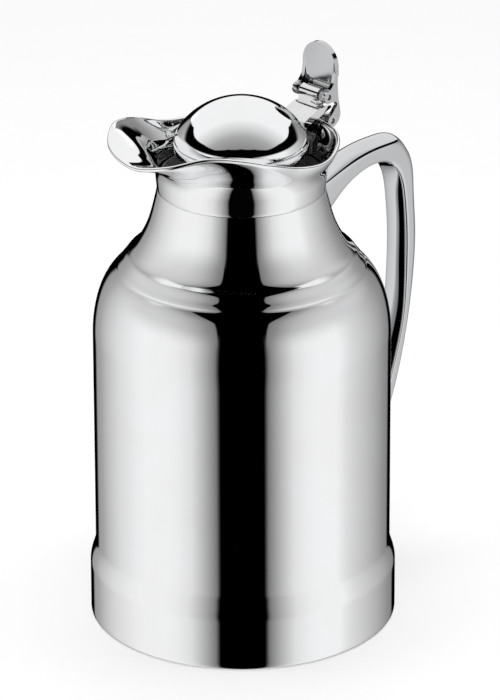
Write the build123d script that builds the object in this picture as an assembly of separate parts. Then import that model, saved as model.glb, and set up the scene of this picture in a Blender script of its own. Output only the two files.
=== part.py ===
from build123d import *
from math import atan2, cos, radians, sin, sqrt
import os

os.makedirs("parts", exist_ok=True)

# Millimetres. +Z is up on the pot's axis, the spout points to -X and the handle to +X.
# Body
body_radius = 64.0
band_radius = 66.4
sheet = 1.0
band_top = 23.0
body_foot = 34.0
shoulder_start = 130.0
neck_seam_height = 196.2
neck_seam_radius = 35.9
shoulder_end = 167.2
fold_height = 0.4
fold_radius = 62.5

# The neck seam's height for which the parts above it are drawn. They are lifted to the chosen one.
drawn_neck_height = 196.2
lift = neck_seam_height - drawn_neck_height

# Collar
collar_foot_height = 204.0
collar_foot_radius = 36.6
collar_wall = 1.2
lip_thickness = 1.8

# Glass flask
flask_radius = 57.5
glass = 1.5
vacuum_gap = 3.5
flask_neck_radius = 24.6
flask_corner_height = 56.0
flask_shoulder_height = 137.0 + lift
flask_join_height = 190.0 + lift
bottom_corner = 30.0
shoulder_corner = 26.0

# Hinge
lever_pin_x = 45.6
lever_pin_z = 216.2
lid_pin_x = 43.4
lid_pin_z = 227.4
pin_radius = 1.2
bracket_screw_z = 207.5
bracket_screw_gap = 9.0
boss_radius = 2.8
barrel_radius = 3.15
barrel_half = 5.4
knuckle_inner = 5.7
lug_inner = 5.3
lug_outer = 7.6
cheek_inner = 7.9
cheek_outer = 9.75
lever_top = 249.2

# Lid and stopper
lid_radius = 28.5
lid_joint_height = 216.6
dome_radius = 33.0
dome_top = 236.0
dome_edge = 9.0
stopper_radius = 24.0
plug_depth = 6.0

# Handle
handle_half = 6.5
screw_radius = 1.6
upper_screw_z = 180.5
lower_screw_z = 47.5

# Fits
snug = 0.05
running = 0.05
press = 0.02
apart = 0.3


def save(node, shape):
    export_step(shape, os.path.join("parts", node + ".step"))


def turned(*edges):
    return revolve(Plane.XZ * make_face(edges), Axis.Z)


def turned_polygon(*points):
    return turned(Polyline(*points, close=True))


def cylinder_y(x, z, radius, low, high):
    return Pos(x, (low + high) / 2, z) * Rot(90, 0, 0) * Cylinder(radius, high - low)


def cylinder_x(y, z, radius, low, high):
    return Pos((low + high) / 2, y, z) * Rot(0, 90, 0) * Cylinder(radius, high - low)


def side_plate(outline, low, high):
    # A flat side outline in X and Z, given thickness between two values of Y.
    return extrude(Plane.XZ.offset(-high) * outline, high - low)


def both_sides(shape):
    return shape + mirror(shape, about=Plane.XZ)


def shell_outline():
    # The outside of the body from the foot to the neck seam, as one open curve.
    mid_z = (band_top + body_foot) / 2
    mid_r = (band_radius + body_radius) / 2
    stretch = (neck_seam_height - shoulder_end) / (drawn_neck_height - shoulder_end)
    neck = [(x, shoulder_end + stretch * (z - shoulder_end))
            for x, z in ((44.0, 172), (40.1, 180), (37.3, 190))]
    return [
        Line((band_radius, fold_height + sheet), (band_radius, band_top)),
        Spline((band_radius, band_top), (mid_r, mid_z), (body_radius, body_foot),
               tangents=[(0, 1), (0, 1)]),
        Line((body_radius, body_foot), (body_radius, shoulder_start)),
        Spline((body_radius, shoulder_start), (62.4, 144), (58.6, 154), (53.3, 160.2),
               tangents=[(0, 1), (-0.80, 0.60)]),
        Spline((53.3, 160.2), (51.2, 163.2), (48.2, shoulder_end), tangents=[(-0.20, 1), (-0.78, 0.62)]),
        Spline((48.2, shoulder_end), *neck, (neck_seam_radius, neck_seam_height),
               tangents=[(-0.78, 0.62), (-0.2, 1)]),
    ]


def shell_offset(distance, samples):
    # Points beside the outline, a distance towards the axis, foot first.
    points = []
    for edge in shell_outline():
        count = max(2, round(samples * edge.length / 220))
        for step in range(count):
            where = (step + 0.5) / count
            along = edge % where
            here = edge @ where
            points.append((here.X - along.Y * distance, here.Y + along.X * distance))
    return points


def shell_block(distance):
    # The filled body, its surface moved out by a small distance.
    side = shell_offset(-distance, 60)
    start, end = side[0], side[-1]
    return turned(Spline(*side), Line(end, (0, end[1])), Line((0, end[1]), (0, start[1])),
                  Line((0, start[1]), start))


def outer_shell():
    outline = shell_outline()
    low = fold_height
    inside = shell_offset(sheet, 60)
    top_inside = (neck_seam_radius - sheet, neck_seam_height)
    foot_inside = (band_radius - sheet, low + sheet)
    body = turned(
        *outline,
        Line((neck_seam_radius, neck_seam_height), top_inside),
        Spline(top_inside, *reversed(inside), foot_inside),
        Line(foot_inside, (fold_radius, low + sheet)),
        Line((fold_radius, low + sheet), (fold_radius, low)),
        Line((fold_radius, low), (band_radius - sheet, low)),
        RadiusArc((band_radius - sheet, low), (band_radius, low + sheet), -sheet),
    )
    for height in (upper_screw_z + lift, lower_screw_z):
        body -= cylinder_x(0, height, screw_radius + snug, 30, 70)
    return body


# The rim of the collar by angle from the spout: angle, radius, height.
rim_stations = [
    (0, 63.6, 221.4),
    (15, 62.9, 224.6),
    (30, 56.5, 228.2),
    (45, 50.4, 226.0),
    (60, 46.6, 222.1),
    (80, 41.5, 216.8),
    (105, 41.6, 214.3),
    (135, 41.8, 216.6),
    (180, 41.7, 216.6),
]


def flare(radius, height):
    # Control points of the outer wall from the collar's foot to its rim.
    reach = radius - collar_foot_radius
    rise = height - collar_foot_height
    lean = min(1.0, reach / 30)
    start = (collar_foot_radius, collar_foot_height)
    return [
        start,
        (start[0] + 0.08 * rise, start[1] + 0.50 * rise),
        (radius - (0.18 + 0.42 * lean) * reach, height - (0.38 - 0.12 * lean) * rise),
        (radius, height),
    ]


def moved_in(points, distances):
    # The control points moved to the wall's inner side.
    inner = []
    for number, point in enumerate(points):
        before = points[max(0, number - 1)]
        after = points[min(len(points) - 1, number + 1)]
        dx, dy = after[0] - before[0], after[1] - before[1]
        size = sqrt(dx * dx + dy * dy)
        reach = distances[number]
        inner.append((point[0] - dy / size * reach, point[1] + dx / size * reach))
    return inner


def collar_section(angle, radius, height):
    outer = flare(radius, height)
    inner = moved_in(outer, [collar_wall, collar_wall, collar_wall, lip_thickness])
    inner[0] = (collar_foot_radius - collar_wall, collar_foot_height)
    foot_out = (neck_seam_radius, drawn_neck_height)
    foot_in = (neck_seam_radius - collar_wall, drawn_neck_height)
    dx, dy = outer[3][0] - outer[2][0], outer[3][1] - outer[2][1]
    size = sqrt(dx * dx + dy * dy)
    half = lip_thickness / 2
    tip = ((outer[3][0] + inner[3][0]) / 2 + dx / size * half,
           (outer[3][1] + inner[3][1]) / 2 + dy / size * half)
    edges = [
        Line(foot_out, outer[0]),
        Bezier(*outer),
        ThreePointArc(outer[3], tip, inner[3]),
        Bezier(*reversed(inner)),
        Line(inner[0], foot_in),
        Line(foot_in, foot_out),
    ]
    turn = radians(angle)
    across = Vector(-cos(turn), -sin(turn), 0)
    plane = Plane(origin=(0, 0, 0), x_dir=across, z_dir=across.cross(Vector(0, 0, 1)))
    return plane * Wire(edges)


def rim_at(angle):
    # Radius and height of the rim between the stations, which mirror past the spout and the back.
    before = [(-turn, *size) for turn, *size in rim_stations[2:0:-1]]
    after = [(360 - turn, *size) for turn, *size in rim_stations[-2:-4:-1]]
    table = before + rim_stations + after
    place = max(number for number in range(2, len(table) - 3) if table[number][0] <= angle)
    a, b, c, d = table[place - 1:place + 3]
    span = c[0] - b[0]
    t = (angle - b[0]) / span
    rim = []
    for k in (1, 2):
        slope_b = (c[k] - a[k]) / (c[0] - a[0]) * span
        slope_c = (d[k] - b[k]) / (d[0] - b[0]) * span
        rise = c[k] - b[k]
        curve = slope_b * t * (1 - t) ** 2 - slope_c * t * t * (1 - t) + rise * t * t * (3 - 2 * t)
        rim.append(b[k] + curve)
    return rim


def collar():
    # One section every 15 degrees, and one more past each end to keep the loft square there.
    turns = range(0, 181, 15)
    sections = [collar_section(turn, *rim_at(turn)) for turn in turns]
    sections.insert(0, collar_section(-15, *rim_at(15)))
    sections.append(collar_section(195, *rim_at(165)))
    half = Solid.make_loft(sections)
    side = Pos(0, -60, 210) * Box(300, 120, 120)
    body = both_sides(half & side)
    for y in (-bracket_screw_gap / 2, bracket_screw_gap / 2):
        body -= cylinder_x(y, bracket_screw_z, screw_radius + snug, 30, 50)
    return body


def rear_wall(distance):
    # Outer wall of the collar at the rear, moved out by a small distance: foot to rim.
    points = flare(rim_stations[-1][1], rim_stations[-1][2])
    return moved_in(points, [-distance] * 4)


def rear_block(distance):
    wall = rear_wall(distance)
    top = wall[3][1]
    foot = (neck_seam_radius + distance, drawn_neck_height)
    return turned(Line(foot, wall[0]), Bezier(*wall), Line(wall[3], (0, top)),
                  Line((0, top), (0, foot[1])), Line((0, foot[1]), foot))


def stretched(points):
    # The grip's points with its upper end carried along by the neck.
    return [(x, z + lift * min(1, max(0, (z - 54) / 110))) for x, z in points]


def handle_outline(crown):
    # Side outline at one distance from the middle; the crown swells the outer surface.
    top = [(34.0, 184.2), (47.0, 187.9), (57.7, 190.9), (66.4, 192.7), (75.1, 193.7),
           (83.5, 193.8), (92.3, 192.2)]
    back = [(97.0, 186.0), (100.2, 168.0), (101.4, 150.0), (100.3, 128.1), (94.4, 95.2),
            (87.5, 73.3), (76.0, 52.0), (60.0, 34.5)]
    front = [(60.0, 54.0), (73.0, 63.5), (83.0, 76.0), (89.7, 92.8), (93.8, 108.1),
             (95.9, 129.4), (96.2, 148.0), (94.8, 165.0), (91.6, 178.0), (86.5, 184.3),
             (76.6, 187.1), (66.5, 185.5), (57.9, 181.7), (48.6, 174.6), (36.0, 164.0)]
    lift = [crown * min(1, (x - 34) / 30) for x, z in top]
    top = [(x, z + up) for (x, z), up in zip(top, lift)]
    corner = (back[0][0] - 1.6 + 0.6 * crown, back[0][1] + 2.4 + 0.6 * crown)
    push = [crown, crown, crown, crown, 0.9 * crown, 0.7 * crown, 0.3 * crown, 0]
    back = [(x + out, z) for (x, z), out in zip(back, push)]
    top, back, front = stretched(top), stretched(back), stretched(front)
    corner = stretched([corner])[0]
    return Wire([
        Spline(*top, corner),
        Spline(corner, *back),
        Line(back[-1], front[0]),
        Spline(*front),
        Line(front[-1], top[0]),
    ])


def handle():
    sections = []
    for y, crown in ((-handle_half, 0), (0, 3.0), (handle_half, 0)):
        sections.append(Plane.XZ.offset(-y) * handle_outline(crown))
    body = Solid.make_loft(sections) - shell_block(snug)
    body = max(body.solids(), key=lambda piece: piece.volume)
    body -= cylinder_x(0, upper_screw_z + lift, screw_radius + snug, 30, 52)
    body -= cylinder_x(0, lower_screw_z, screw_radius + snug, 55, 71)
    return body


def handle_screws():
    # One screw from inside the neck and one from inside the wall, heads inward.
    high = upper_screw_z + lift
    upper = cylinder_x(0, high, screw_radius, 35.5, 51)
    upper += cylinder_x(0, high, 3.0, 34.0, 36.2)
    lower_face = body_radius - sheet - 0.2
    lower = cylinder_x(0, lower_screw_z, screw_radius, lower_face - 1, 70)
    lower += cylinder_x(0, lower_screw_z, 3.0, lower_face - 2.2, lower_face)
    return Compound([upper, lower])


def bulb_outline(depth):
    # Half outline of the flask, a depth inside its outer surface, from the axis to the neck.
    side = flask_radius - depth
    corner_x = flask_radius - bottom_corner
    corner = bottom_corner - depth
    turn = radians(60)
    rest = (corner_x + corner * cos(turn), flask_corner_height - corner * sin(turn))
    middle = (corner_x + corner * cos(turn / 2), flask_corner_height - corner * sin(turn / 2))
    cap_centre = flask_corner_height + corner_x / cos(turn) * sin(turn)
    cap = corner_x / cos(turn) + corner
    half_turn = radians(15)
    cap_middle = (cap * sin(half_turn), cap_centre - cap * cos(half_turn))
    shoulder_x = flask_radius - shoulder_corner
    shoulder = shoulder_corner - depth
    neck = flask_neck_radius - depth
    fillet = shoulder_x - neck
    top = flask_shoulder_height + shoulder
    eighth = sqrt(0.5)
    return [
        ThreePointArc((0, cap_centre - cap), cap_middle, rest),
        ThreePointArc(rest, middle, (side, flask_corner_height)),
        Line((side, flask_corner_height), (side, flask_shoulder_height)),
        ThreePointArc((side, flask_shoulder_height),
                      (shoulder_x + shoulder * eighth, flask_shoulder_height + shoulder * eighth),
                      (shoulder_x, top)),
        ThreePointArc((shoulder_x, top),
                      (shoulder_x - fillet * eighth, top + fillet * (1 - eighth)),
                      (neck, top + fillet)),
    ], (0, cap_centre - cap), (neck, top + fillet)


def flask_outer():
    outside, low_out, neck_out = bulb_outline(0)
    inside, low_in, neck_in = bulb_outline(glass)
    high = flask_join_height
    wall = turned(*outside, Line(neck_out, (neck_out[0], high)),
                  Line((neck_out[0], high), (neck_in[0], high)),
                  Line((neck_in[0], high), neck_in), *inside, Line(low_in, low_out))
    tip = Pos(0, 0, low_out[1] - 1.5) * Cylinder(2.0, 4.0)
    return wall + tip


def flask_inner():
    # The inner bulb with the rounded lip that is fused to the outer bulb's neck.
    outside, low_out, neck_out = bulb_outline(glass + vacuum_gap)
    inside, low_in, neck_in = bulb_outline(2 * glass + vacuum_gap)
    high = flask_join_height
    lip_in, lip_out = neck_in[0], flask_neck_radius
    middle = (lip_in + lip_out) / 2
    half = (lip_out - lip_in) / 2
    gap_half = vacuum_gap / 2
    return turned(
        *outside,
        Line(neck_out, (neck_out[0], high)),
        ThreePointArc((neck_out[0], high), (middle, high + gap_half), (lip_out - glass, high)),
        Line((lip_out - glass, high), (lip_out, high)),
        ThreePointArc((lip_out, high), (middle, high + half), (lip_in, high)),
        Line((lip_in, high), neck_in),
        *inside,
        Line(low_in, low_out),
    )


def flask_pads():
    # Small mineral pads that keep the two bulbs apart.
    inner = flask_radius - glass - vacuum_gap + snug
    outer = flask_radius - glass - snug
    ring = turned_polygon((inner, 62), (outer, 62), (outer, 70), (inner, 70))
    pads = []
    for turn in (30, 150, 270):
        window = Rot(0, 0, turn) * Pos(flask_radius, 0, 66) * Box(20, 10, 8)
        pads.append(ring & window)
    return Compound(pads)


def flask_cushion():
    _, low, _ = bulb_outline(0)
    cap = (flask_radius - bottom_corner) / cos(radians(60)) + bottom_corner
    centre = low[1] + cap
    reach = cap + snug
    edge = 30.0
    top = centre - sqrt(reach * reach - edge * edge)
    hole = 6.0
    start = centre - sqrt(reach * reach - hole * hole)
    mid = 18.0
    middle = centre - sqrt(reach * reach - mid * mid)
    return turned(ThreePointArc((hole, start), (mid, middle), (edge, top)),
                  Line((edge, top), (edge + 1, 12)), Line((edge + 1, 12), (edge - 1, 10)),
                  Line((edge - 1, 10), (hole, 10)), Line((hole, 10), (hole, start)))


def base_plate():
    rim = fold_radius - 0.2
    return turned_polygon((0, 0), (rim - 1, 0), (rim, 1), (rim, 13), (rim - 2.2, 13),
                          (rim - 2.2, 3), (32, 3), (32, 9.95), (24, 9.95), (24, 3), (0, 3))


def base_ring():
    inner, outer = fold_radius, band_radius - sheet - 0.1
    return turned_polygon((inner, 3), (outer, 3), (outer, 14), (inner, 14))


def neck_ring():
    inner = flask_neck_radius + 3.05
    return turned(Polyline((inner, 184), (37.2, 184), (35.6, 189.6), (34.5, 192.6), (34.5, 203),
                           (33.6, 203), (26.2, 195.6), (25.6, 194.8), (25.6, 190.3),
                           (inner, 190.3), close=True))


def mouth_seal():
    inner = flask_neck_radius + snug
    outer = flask_neck_radius + 3.0
    return turned_polygon((inner, 176), (outer - 0.6, 176), (outer + 2, 178), (outer + 2, 183.6),
                          (outer, 183.9), (outer, 190.2), (inner, 190.2))


def hinge_bracket():
    # Saddle on the collar's rear wall with a lug on each side for the lever pin.
    x, z = lever_pin_x, lever_pin_z
    foot = [(35, 203.8), (38.6, 203.8), (x - 1.4, z - 9.7), (x + 2.1, z - 4.7)]
    saddle = Polyline(*foot, (x + 2.4, z - 3.5), (x - 2.4, z - 3.7), (35, 211.8), close=True)
    cheek = Polyline(*foot, (x + boss_radius, z), (x - boss_radius, z), (x - 3.4, z - 2.6),
                     (35, 211.8), close=True)
    body = side_plate(make_face(saddle), -lug_outer, lug_outer)
    for side in (-1, 1):
        low, high = sorted((side * lug_inner, side * lug_outer))
        body += side_plate(make_face(cheek), low, high)
        body += cylinder_y(x, z, boss_radius, low, high)
    body -= cylinder_y(x, z, pin_radius + press, -20, 20)
    body -= cylinder_y(x, z, 3.1, -lug_inner, lug_inner)
    body -= rear_block(0.15)
    for y in (-bracket_screw_gap / 2, bracket_screw_gap / 2):
        body -= cylinder_x(y, bracket_screw_z, screw_radius + snug, 30, 41.5)
    return body


def bracket_plate():
    points = flare(rim_stations[-1][1], rim_stations[-1][2])
    outer = moved_in(points, [collar_wall + 0.2] * 3 + [lip_thickness + 0.2])
    inner = moved_in(points, [collar_wall + 1.4] * 3 + [lip_thickness + 1.4])
    ring = turned(Bezier(*outer), Line(outer[3], inner[3]), Bezier(*reversed(inner)),
                  Line(inner[0], outer[0]))
    window = Pos(37, 0, 208.2) * Box(16, 17, 7.6)
    plate = ring & window
    for y in (-bracket_screw_gap / 2, bracket_screw_gap / 2):
        plate -= cylinder_x(y, bracket_screw_z, screw_radius + snug, 30, 40)
    return plate


def bracket_screws():
    screws = []
    for y in (-bracket_screw_gap / 2, bracket_screw_gap / 2):
        shank = cylinder_x(y, bracket_screw_z, screw_radius, 32.5, 41)
        screws.append(shank + cylinder_x(y, bracket_screw_z, 2.7, 31.9, 33.5))
    return Compound(screws)


def lever_pin():
    half = cheek_outer - 0.6
    return cylinder_y(lever_pin_x, lever_pin_z, pin_radius, -half, half)


def lid_pin():
    half = cheek_outer - 0.6
    return cylinder_y(lid_pin_x, lid_pin_z, pin_radius, -half, half)


def return_spring():
    # Torsion coil on the lever pin, one leg down on the saddle and one free leg up.
    wire = 0.45
    coil_radius = 2.2
    half = lug_inner - 0.8
    turns = 8
    pitch = 2 * half / turns
    helix = Helix(pitch, 2 * half, coil_radius)
    start = helix @ 0
    coil = sweep(Plane(origin=start, z_dir=helix % 0) * Circle(wire), path=helix, is_frenet=True)
    return Pos(lever_pin_x, half, lever_pin_z) * Rot(90, 0, 0) * coil


def lever_side():
    # Side outline of the cheek with its notch between the two pins, measured from the lower pin.
    up_x, up_z = lid_pin_x - lever_pin_x, lid_pin_z - lever_pin_z
    front = Polyline((3.5, 21.8), (1.6, 21.8), (0.7, 16.8), (up_x + 0.6, up_z + 2.9),
                     (up_x, up_z), (up_x + 0.9, up_z - 2.6), (1.5, 8.4), (2.6, 7.6), (2.5, 6.3),
                     (0.3, 3.9), (-2.6, 1.0), (0, -boss_radius), (1.7, -2.2))
    back = Spline((1.7, -2.2), (3.7, -0.5), (4.6, 1.7), (4.5, 4.3), (3.7, 8.3), (3.1, 13.3),
                  (3.0, 17.3), (3.5, 21.8))
    return Pos(lever_pin_x, 0, lever_pin_z) * (Plane.XZ * make_face([front, back]))


def thumb_lever():
    front, back = lever_pin_x + 1.4, lever_pin_x + 3.7
    half = cheek_outer - 0.15
    straight = lever_top - half
    low = lever_pin_z + 19.5
    body = Pos((front + back) / 2, 0, (low + straight) / 2) * Box(back - front, 2 * half, straight - low)
    body += cylinder_x(0, straight, half, front, back)
    for side in (-1, 1):
        low_y, high_y = sorted((side * cheek_inner, side * cheek_outer))
        body += Pos(0, high_y, 0) * extrude(lever_side(), high_y - low_y)
        body += cylinder_y(lever_pin_x, lever_pin_z, boss_radius, low_y, high_y)
        low_y, high_y = sorted((side * knuckle_inner, side * cheek_outer))
        body += cylinder_y(lid_pin_x, lid_pin_z, boss_radius, low_y, high_y)
    span = 2 * cheek_inner + 1
    body += Pos(lever_pin_x + 2.2, 0, lever_pin_z + 14.8) * Box(1.6, span, 11)
    for rise in (11.8, 16.8):
        body += Pos(lever_pin_x + 1.8, 0, lever_pin_z + rise) * Box(0.8, span, 1.0)
    body -= cylinder_y(lid_pin_x, lid_pin_z, pin_radius + press, -20, 20)
    body -= cylinder_y(lever_pin_x, lever_pin_z, pin_radius + running, -20, 20)
    body -= cylinder_y(lid_pin_x, lid_pin_z, barrel_radius + apart, -knuckle_inner, knuckle_inner)
    return body


def dome_outline(depth):
    # A spherical cap rolled over into an upright edge, a depth inside its outer surface.
    centre = dome_top - dome_radius
    reach = dome_radius - dome_edge
    edge_x = lid_radius - dome_edge
    edge_z = centre + sqrt(reach * reach - edge_x * edge_x)
    turn = atan2(edge_z - centre, edge_x)
    steep = (radians(90) + turn) / 2
    big, small = dome_radius - depth, dome_edge - depth
    join = (big * cos(turn), centre + big * sin(turn))
    top = (0, centre + big)
    side = (edge_x + small, edge_z)
    cap = ThreePointArc(top, (big * cos(steep), centre + big * sin(steep)), join)
    middle = (edge_x + small * cos(turn / 2), edge_z + small * sin(turn / 2))
    return [cap, ThreePointArc(join, middle, side)], top, side


def lid_dome():
    outside, top_out, side_out = dome_outline(0)
    inside, top_in, side_in = dome_outline(1.0)
    low = lid_joint_height
    return turned(*outside, Line(side_out, (side_out[0], low)),
                  Line((side_out[0], low), (side_in[0], low)),
                  Line((side_in[0], low), side_in), *inside, Line(top_in, top_out))


def lid_base():
    band = lid_radius + 0.25
    top = lid_joint_height - 0.05
    spigot = lid_radius - 1.2
    body = turned_polygon((2.2, 210.8), (26.6, 210.8), (band - 0.3, 212.6), (band, 213.4),
                          (band, top - 0.25), (band - 0.25, top), (spigot, top), (spigot, 218.4),
                          (spigot - 1, 218.4), (spigot - 1, 213.3), (2.2, 213.3))
    body -= Pos(27, 0, 216.35) * Box(14, 2 * (lug_outer + 0.1), 5.95)
    for x, y in arm_screw_spots():
        body -= Pos(x, y, 212) * Cylinder(1.25, 6)
    return body


def arm_screw_spots():
    return ((21.5, -4.5), (21.5, 4.5))


def lid_arm():
    # A strap from inside the lid up to the barrel, with a horn under each side.
    ux, uz = lid_pin_x, lid_pin_z
    strap = Polyline((17.5, 213.4), (30.6, 213.4), (32.0, 217.4), (34.4, 218.7), (40.6, 221.6),
                     (40.4, 223.2), (33.5, 220.4), (30.4, 219.0), (29.4, 215.0), (17.5, 215.0),
                     close=True)
    neck = Polyline((39.0, 220.9), (40.8, 221.6), (43.8, 222.2), (ux + 2.3, uz - 2.0), (ux, uz),
                    (ux - 2.9, uz - 0.9), (39.7, 222.9), close=True)
    horn = Polyline((30.6, 213.4), (32.4, 216.4), (36.9, 218.2), (39.8, 218.9), (43.9, 220.4),
                    (47.0, 221.6), (46.6, 222.6), (43.0, 222.9), (40.4, 222.6), (33.5, 220.4),
                    (30.4, 219.0), (29.4, 215.0), close=True)
    body = side_plate(make_face(strap), -lug_outer, lug_outer)
    body += side_plate(make_face(neck), -barrel_half, barrel_half)
    body += cylinder_y(ux, uz, barrel_radius, -barrel_half, barrel_half)
    for side in (-1, 1):
        low, high = sorted((side * 5.9, side * lug_outer))
        body += side_plate(make_face(horn), low, high)
    body -= cylinder_y(ux, uz, pin_radius + running, -20, 20)
    for x, y in arm_screw_spots():
        body -= Pos(x, y, 214) * Cylinder(1.25, 6)
    return body


def arm_screws():
    screws = []
    for x, y in arm_screw_spots():
        shank = Pos(x, y, 212.4) * Cylinder(1.2, 4.6)
        screws.append(shank + Pos(x, y, 210.1) * Cylinder(2.2, 1.3))
    return Compound(screws)


def stopper_body():
    top = 210.7
    return turned_polygon((0, 187.0), (13.5, 187.0), (15.8, 187 + plug_depth), (15.8, 196.4),
                          (20.0, 197.6), (18.5, 205), (17.6, top), (16.0, top), (16.0, 199),
                          (4.5, 197.4), (4.5, top), (2.2, top), (2.2, 190.0), (0, 190.0))


def stopper_seal():
    return turned_polygon((15.9, 193.55), (stopper_radius, 193.55), (stopper_radius + 0.4, 194.4),
                          (stopper_radius - 1, 196.2), (20.5, 197.45), (15.9, 196.2))


def stopper_foam():
    return turned_polygon((4.7, 199), (15.8, 200.2), (15.8, 210.5), (4.7, 210.5))


def stopper_screw():
    shank = Pos(0, 0, 203) * Cylinder(2.1, 24)
    return shank + Pos(0, 0, 214.6) * Cylinder(4.5, 2.4)


def main():
    upper = Pos(0, 0, lift)
    save("outer_shell", outer_shell())
    save("handle", handle())
    save("handle_screws", handle_screws())
    save("flask_inner", flask_inner())
    save("flask_outer", flask_outer())
    save("flask_pads", flask_pads())
    save("flask_cushion", flask_cushion())
    save("base_plate", base_plate())
    save("base_ring", base_ring())
    save("collar", upper * collar())
    save("neck_ring", upper * neck_ring())
    save("mouth_seal", upper * mouth_seal())
    save("hinge_bracket", upper * hinge_bracket())
    save("bracket_plate", upper * bracket_plate())
    save("bracket_screws", upper * bracket_screws())
    save("lever_pin", upper * lever_pin())
    save("return_spring", upper * return_spring())
    save("thumb_lever", upper * thumb_lever())
    save("lid_pin", upper * lid_pin())
    save("lid_dome", upper * lid_dome())
    save("lid_base", upper * lid_base())
    save("lid_arm", upper * lid_arm())
    save("arm_screws", upper * arm_screws())
    save("stopper_body", upper * stopper_body())
    save("stopper_seal", upper * stopper_seal())
    save("stopper_foam", upper * stopper_foam())
    save("stopper_screw", upper * stopper_screw())


main()
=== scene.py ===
import math
import bmesh
import bpy
import numpy as np
from mathutils import Matrix, Vector


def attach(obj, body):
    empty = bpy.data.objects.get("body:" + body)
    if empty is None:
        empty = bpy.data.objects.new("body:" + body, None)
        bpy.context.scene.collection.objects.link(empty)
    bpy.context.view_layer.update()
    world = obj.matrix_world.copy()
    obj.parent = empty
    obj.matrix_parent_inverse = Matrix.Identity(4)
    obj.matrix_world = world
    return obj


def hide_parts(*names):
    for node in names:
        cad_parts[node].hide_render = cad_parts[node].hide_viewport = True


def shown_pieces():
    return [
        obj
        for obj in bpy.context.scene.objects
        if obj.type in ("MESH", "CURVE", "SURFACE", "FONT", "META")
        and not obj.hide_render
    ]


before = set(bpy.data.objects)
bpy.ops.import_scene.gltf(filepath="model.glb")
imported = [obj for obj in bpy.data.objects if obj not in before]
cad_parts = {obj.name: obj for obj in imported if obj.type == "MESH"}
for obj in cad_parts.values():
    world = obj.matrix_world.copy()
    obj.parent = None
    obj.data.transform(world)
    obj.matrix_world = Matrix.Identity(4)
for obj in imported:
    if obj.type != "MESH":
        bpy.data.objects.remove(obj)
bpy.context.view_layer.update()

mm = 0.001


# shader expressions: a wrapped socket, and one method that makes any node
class Wire:
    def __init__(self, recipe, socket):
        self.recipe = recipe
        self.socket = socket

    def calc(self, operation, *values):
        return self.recipe.make("ShaderNodeMath", {"operation": operation}, dict(enumerate(values)))

    def __add__(self, other):
        return self.calc("ADD", self, other)

    def __sub__(self, other):
        return self.calc("SUBTRACT", self, other)

    def __rsub__(self, other):
        return self.calc("SUBTRACT", other, self)

    def __mul__(self, other):
        return self.calc("MULTIPLY", self, other)

    def __truediv__(self, other):
        return self.calc("DIVIDE", self, other)

    def __rtruediv__(self, other):
        return self.calc("DIVIDE", other, self)

    __radd__ = __add__
    __rmul__ = __mul__

    def size(self):
        return self.calc("ABSOLUTE", self)

    def ease(self, low, high, start=0.0, end=1.0):
        settings = {"interpolation_type": "SMOOTHSTEP"}
        sockets = {"Value": self, "From Min": low, "From Max": high, "To Min": start, "To Max": end}
        return self.recipe.make("ShaderNodeMapRange", settings, sockets)

    def ramp(self, stops):
        return self.recipe.make("ShaderNodeValToRGB", {"stops": stops}, {"Fac": self})


class Recipe:
    def __init__(self, tree):
        self.tree = tree
        tree.nodes.clear()

    def make(self, kind, settings=None, sockets=None, out=0):
        node = self.tree.nodes.new(kind)
        for name, value in (settings or {}).items():
            if name == "stops":
                elements = node.color_ramp.elements
                while len(elements) < len(value):
                    elements.new(0.5)
                for element, (place, colour) in zip(elements, value):
                    element.position = place
                    element.color = (*colour, 1.0)
            else:
                setattr(node, name, value)
        for key, value in (sockets or {}).items():
            if isinstance(value, Wire):
                self.tree.links.new(value.socket, node.inputs[key])
            else:
                node.inputs[key].default_value = value
        return Wire(self, node.outputs[out]) if node.outputs else node

    def split(self, vector):
        first = self.make("ShaderNodeSeparateXYZ", {}, {0: vector})
        return [Wire(self, socket) for socket in first.socket.node.outputs]

    def place(self):
        return self.make("ShaderNodeTexCoord", {}, {}, "Object")

    def noise(self, scale, detail=3.0, rough=0.5, stretch=(1, 1, 1)):
        spot = self.make("ShaderNodeMapping", {}, {"Vector": self.place(), "Scale": stretch})
        sockets = {"Vector": spot, "Scale": scale, "Detail": detail, "Roughness": rough}
        return self.make("ShaderNodeTexNoise", {}, sockets)

    def blend(self, factor, first, second):
        settings = {"data_type": "RGBA"}
        sockets = {0: factor, 6: (*first, 1.0), 7: (*second, 1.0)}
        return self.make("ShaderNodeMix", settings, sockets, 2)

    def bump(self, height, depth, strength=1.0):
        return self.make("ShaderNodeBump", {}, {"Height": height, "Distance": depth, "Strength": strength})


def newFinish(name, **sockets):
    material = bpy.data.materials.new(name)
    material.use_nodes = True
    recipe = Recipe(material.node_tree)
    shader = recipe.make("ShaderNodeBsdfPrincipled", {}, {k.replace("_", " "): v for k, v in sockets.items()})
    recipe.make("ShaderNodeOutputMaterial", {}, {"Surface": shader})
    return material, recipe, shader.socket.node


def feed(recipe, shader, **sockets):
    for name, wire in sockets.items():
        recipe.tree.links.new(wire.socket, shader.inputs[name.replace("_", " ")])


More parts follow.
